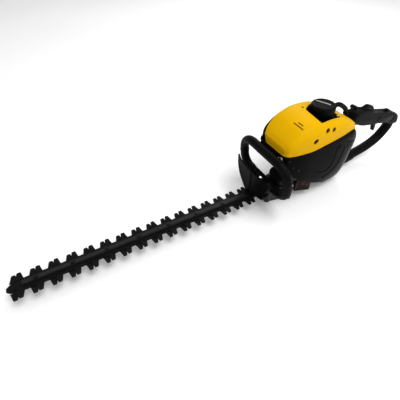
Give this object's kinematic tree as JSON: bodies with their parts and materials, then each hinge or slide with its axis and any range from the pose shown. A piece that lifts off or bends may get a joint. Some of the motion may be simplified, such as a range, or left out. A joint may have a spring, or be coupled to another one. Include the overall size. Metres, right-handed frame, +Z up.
{
  "type": "hedge trimmer",
  "caption": "Petrol hedge trimmer with a long double-sided reciprocating blade, front loop handle, hand guard, engine under a domed cover and a rear throttle handle.",
  "frame": {"origin": "where the drive gear axis meets the flat base of the gearcase", "axes": "+X from the blade tip towards the rear handle, +Z up, -Y to the operator's left"},
  "size_m": [1.0364, 0.185, 0.2325],
  "materials": {
    "gearcase_lower": "as cast",
    "gearcase_cover": "as cast",
    "gearcase_screws": "satin",
    "gearcase_bearings": "polished",
    "drive_gear": "machined",
    "eccentric_shaft": "machined",
    "pinion_shaft": "machined",
    "clutch_drum": "turned",
    "clutch_shoes": "sintered",
    "clutch_spring": "satin",
    "clutch_hub": "sintered",
    "clutch_housing": "as cast",
    "blade_upper": "black coating",
    "blade_lower": "black coating",
    "link_upper": "machined",
    "link_lower": "machined",
    "guide_bar": "satin",
    "guide_bar_bolts": "black oxide",
    "hand_guard": "satin",
    "front_handle": "fine grain",
    "handle_bolts": "satin",
    "crankcase_lower": "as cast",
    "crankcase_upper": "as cast",
    "crank_bearings": "polished",
    "crank_lower": "machined",
    "crank_upper": "machined",
    "crank_pin": "machined",
    "connecting_rod": "machined",
    "wrist_pin": "machined",
    "piston": "machined",
    "cylinder": "as cast",
    "spark_plug": "glazed",
    "plug_boot": "satin",
    "ignition_coil": "moulded",
    "ignition_lead": "satin",
    "flywheel": "as cast",
    "starter_pulley": "moulded",
    "starter_housing": "satin",
    "starter_rope": "braided",
    "starter_grip": "satin",
    "muffler": "heat-stained",
    "exhaust_guard": "heat-stained",
    "carburettor": "as cast",
    "air_filter": "foam",
    "air_filter_cover": "satin",
    "choke_lever": "satin",
    "primer_bulb": "translucent",
    "fuel_tank": "translucent white",
    "cap_plate": "satin",
    "fuel_cap": "satin",
    "top_cover": "gloss",
    "shroud_left": "gloss",
    "shroud_right": "gloss",
    "cover_screws": "satin",
    "throttle_housing_left": "fine grain",
    "throttle_housing_right": "fine grain",
    "throttle_trigger": "satin",
    "trigger_lock": "satin",
    "stop_switch": "satin",
    "rear_handle_tube": "satin"
  },
  "bodies": {
    "chassis": {"gearcase_lower": "gearcase_lower", "gearcase_cover": "gearcase_cover", "gearcase_screws": "gearcase_screws", "gearcase_bearings": "gearcase_bearings", "clutch_housing": "clutch_housing", "guide_bar": "guide_bar", "guide_bar_bolts": "guide_bar_bolts", "hand_guard": "hand_guard", "front_handle": "front_handle", "handle_bolts": "handle_bolts", "crankcase_lower": "crankcase_lower", "crankcase_upper": "crankcase_upper", "crank_bearings": "crank_bearings", "cylinder": "cylinder", "spark_plug": "spark_plug", "plug_boot": "plug_boot", "ignition_coil": "ignition_coil", "ignition_lead": "ignition_lead", "starter_housing": "starter_housing", "starter_rope": "starter_rope", "muffler": "muffler", "exhaust_guard": "exhaust_guard", "carburettor": "carburettor", "air_filter": "air_filter", "air_filter_cover": "air_filter_cover", "fuel_tank": "fuel_tank", "cap_plate": "cap_plate", "top_cover": "top_cover", "shroud_left": "shroud_left", "shroud_right": "shroud_right", "cover_screws": "cover_screws", "throttle_housing_left": "throttle_housing_left", "throttle_housing_right": "throttle_housing_right", "rear_handle_tube": "rear_handle_tube"},
    "gear": {"drive_gear": "drive_gear", "eccentric_shaft": "eccentric_shaft"},
    "drum": {"pinion_shaft": "pinion_shaft", "clutch_drum": "clutch_drum"},
    "crank": {"crank_lower": "crank_lower", "crank_upper": "crank_upper", "flywheel": "flywheel", "clutch_hub": "clutch_hub", "clutch_shoes": "clutch_shoes", "clutch_spring": "clutch_spring"},
    "upper_blade": {"blade_upper": "blade_upper", "link_upper": "link_upper"},
    "lower_blade": {"blade_lower": "blade_lower", "link_lower": "link_lower"},
    "piston": {"piston": "piston", "wrist_pin": "wrist_pin", "connecting_rod": "connecting_rod", "crank_pin": "crank_pin"},
    "pulley": {"starter_pulley": "starter_pulley"},
    "grip": {"starter_grip": "starter_grip"},
    "cap": {"fuel_cap": "fuel_cap"},
    "trigger": {"throttle_trigger": "throttle_trigger"},
    "lock": {"trigger_lock": "trigger_lock"},
    "switch": {"stop_switch": "stop_switch"},
    "choke": {"choke_lever": "choke_lever"},
    "primer": {"primer_bulb": "primer_bulb"}
  },
  "joints": [
    {"name": "gear_spin", "type": "hinge", "parent": "chassis", "child": "gear", "pos_m": [0, 0, 0.045], "axis": [0, 0, 1], "continuous": true},
    {"name": "drum_spin", "type": "hinge", "parent": "chassis", "child": "drum", "pos_m": [0.0275, 0, 0.064], "axis": [0, 0, 1], "continuous": true},
    {"name": "crank_spin", "type": "hinge", "parent": "chassis", "child": "crank", "pos_m": [0.0275, 0, 0.108], "axis": [0, 0, 1], "continuous": true},
    {"name": "upper_blade_slide", "type": "slide", "parent": "chassis", "child": "upper_blade", "axis": [1, 0, 0], "range_m": [-0.0142, 0.0033]},
    {"name": "lower_blade_slide", "type": "slide", "parent": "chassis", "child": "lower_blade", "axis": [1, 0, 0], "range_m": [-0.0033, 0.0142]},
    {"name": "piston_slide", "type": "slide", "parent": "chassis", "child": "piston", "axis": [1, 0, 0], "range_m": [-0.028, 0]},
    {"name": "starter_pull", "type": "slide", "parent": "chassis", "child": "grip", "axis": [0.9397, 0, 0.342], "range_m": [0, 0.5], "stiffness_N_per_m": 6, "springref_m": -0.25},
    {"name": "pulley_spin", "type": "hinge", "parent": "chassis", "child": "pulley", "pos_m": [0.0275, 0, 0.168], "axis": [0, 0, 1], "range_deg": [0, 1600]},
    {"name": "cap_turn", "type": "hinge", "parent": "chassis", "child": "cap", "pos_m": [0.072, 0, 0.215], "axis": [0, 0, 1], "range_deg": [0, 360]},
    {"name": "trigger_squeeze", "type": "hinge", "parent": "chassis", "child": "trigger", "pos_m": [0.27, 0, 0.146], "axis": [0, -1, 0], "range_deg": [0, 12], "stiffness_Nm_per_rad": 0.8, "springref_deg": -14.32},
    {"name": "lock_press", "type": "hinge", "parent": "chassis", "child": "lock", "pos_m": [0.214, 0, 0.168], "axis": [0, 1, 0], "range_deg": [0, 8], "stiffness_Nm_per_rad": 0.8, "springref_deg": -17.19},
    {"name": "switch_rock", "type": "hinge", "parent": "chassis", "child": "switch", "pos_m": [0.331, 0, 0.144], "axis": [0, 1, 0], "range_deg": [-24, 0]},
    {"name": "choke_turn", "type": "hinge", "parent": "chassis", "child": "choke", "pos_m": [0.108, 0.05, 0.117], "axis": [0, 1, 0], "range_deg": [0, 60]},
    {"name": "primer_press", "type": "slide", "parent": "chassis", "child": "primer", "axis": [-1, 0, 0], "range_m": [0, 0.004], "stiffness_N_per_m": 300, "springref_m": -0.003}
  ],
  "couplings": [
    {"joint": "drum_spin", "follows": "gear_spin", "ratio": -4},
    {"joint": "lower_blade_slide", "follows": "upper_blade_slide", "ratio": -1},
    {"joint": "pulley_spin", "follows": "starter_pull", "rad_per_m": 55.5}
  ]
}
